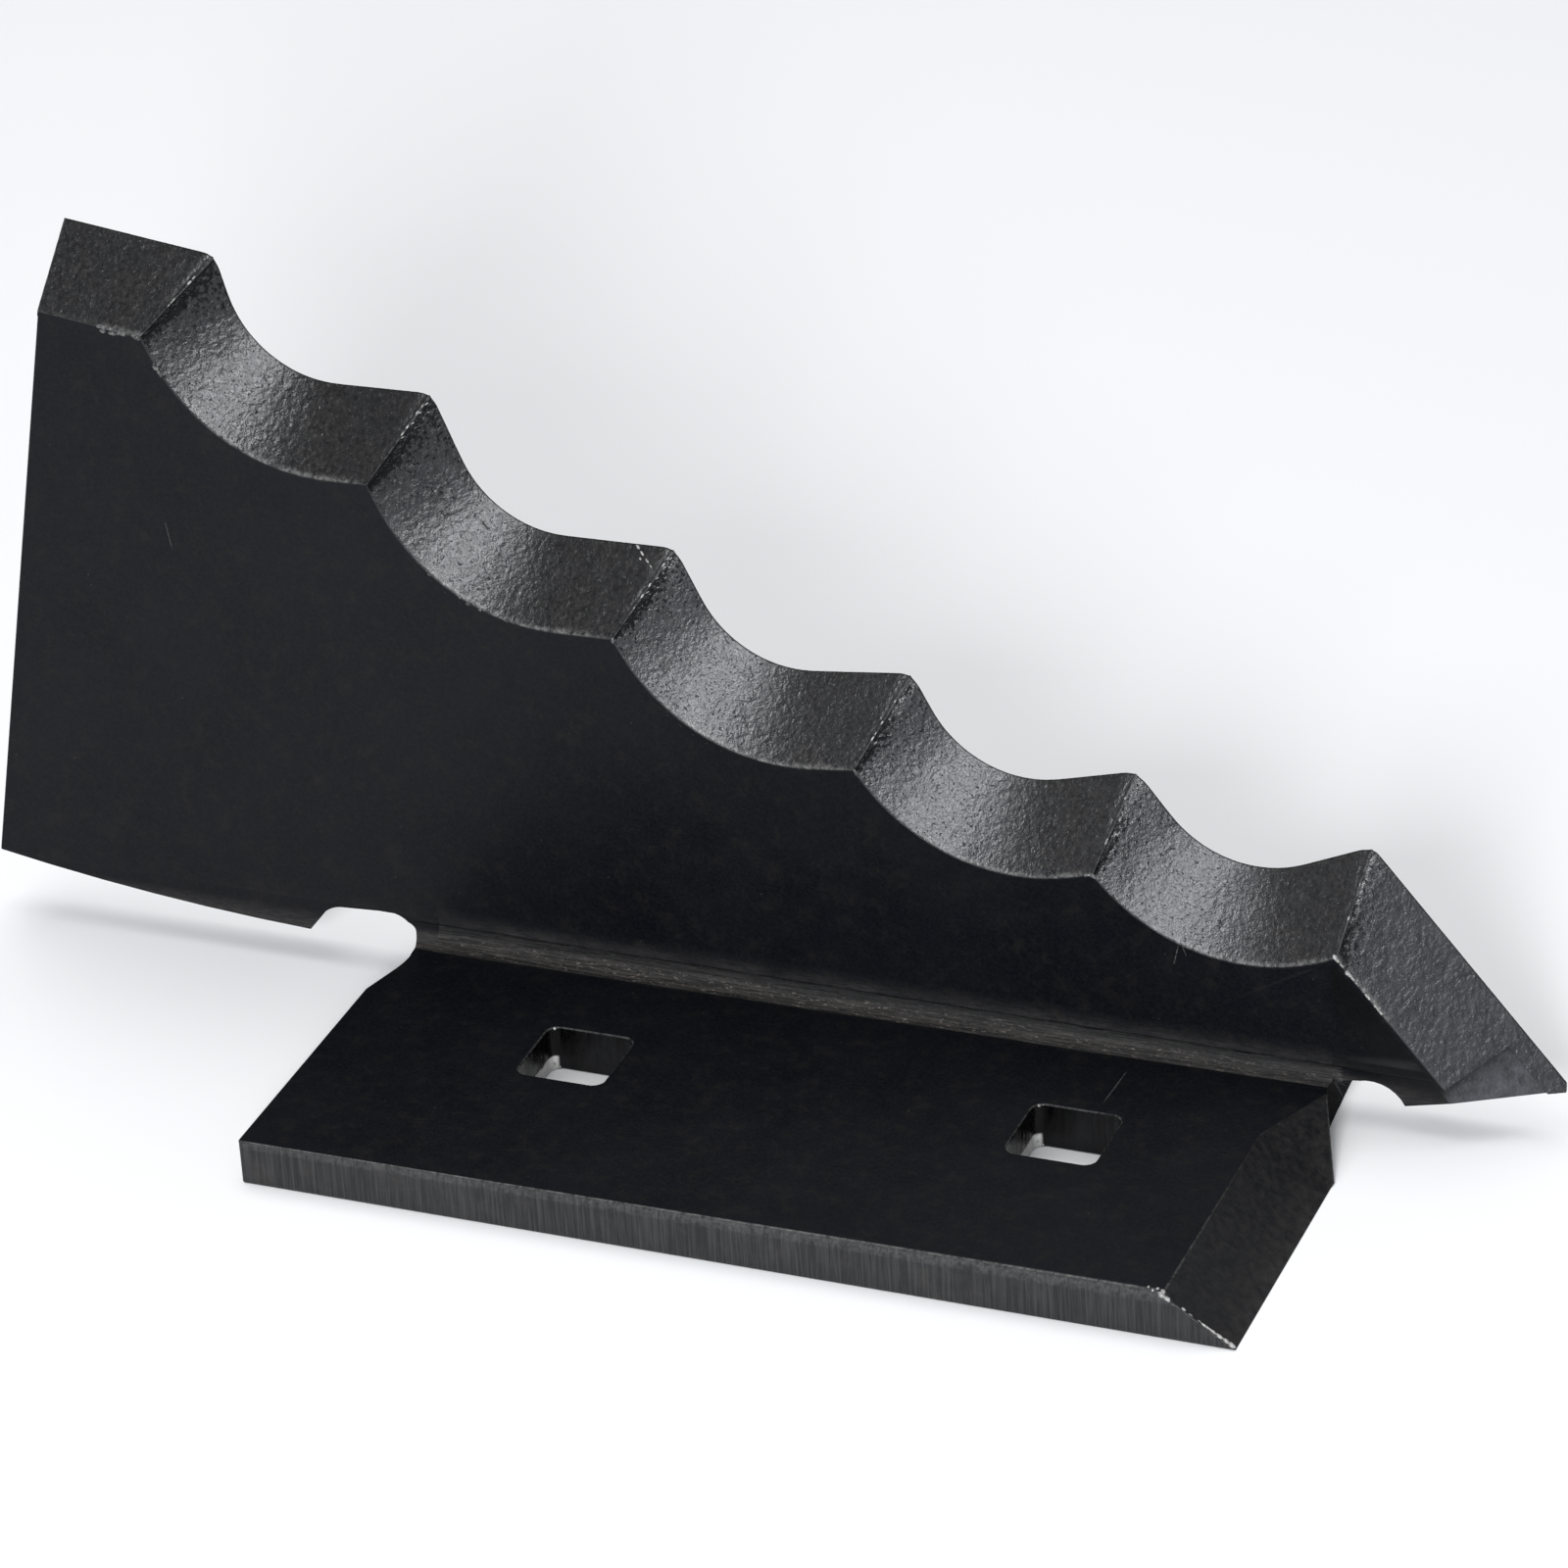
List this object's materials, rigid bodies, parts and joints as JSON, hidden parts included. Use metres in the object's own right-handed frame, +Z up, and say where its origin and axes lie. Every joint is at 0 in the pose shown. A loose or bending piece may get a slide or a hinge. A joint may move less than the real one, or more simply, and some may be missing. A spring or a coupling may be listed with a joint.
{
  "type": "bolt-on serrated edge knife",
  "caption": "Steel plate folded to an L: an upright blade with a stepped, scalloped, hard-faced cutting edge that runs down to a blunt nose, on a flange with square bolt holes.",
  "frame": {"origin": "underside of the mounting flange, midway between the two square bolt holes", "axes": "+X along the fold toward the pointed nose, +Y from the flange's free edge to the upright blade, +Z up, out of the flange's top face"},
  "size_m": [0.3259, 0.0885, 0.1552],
  "materials": {
    "black_paint": "satin black paint over rolled plate",
    "hard_facing": "coarse pebbled hard layer under thin black paint, semi-gloss"
  },
  "bodies": {
    "root": {"bent_plate": "black_paint", "hardface_heel": "hard_facing", "hardface_scallop_1": "hard_facing", "hardface_scallop_2": "hard_facing", "hardface_scallop_3": "hard_facing", "hardface_scallop_4": "hard_facing", "hardface_scallop_5": "hard_facing", "hardface_nose": "hard_facing"}
  },
  "joints": []
}
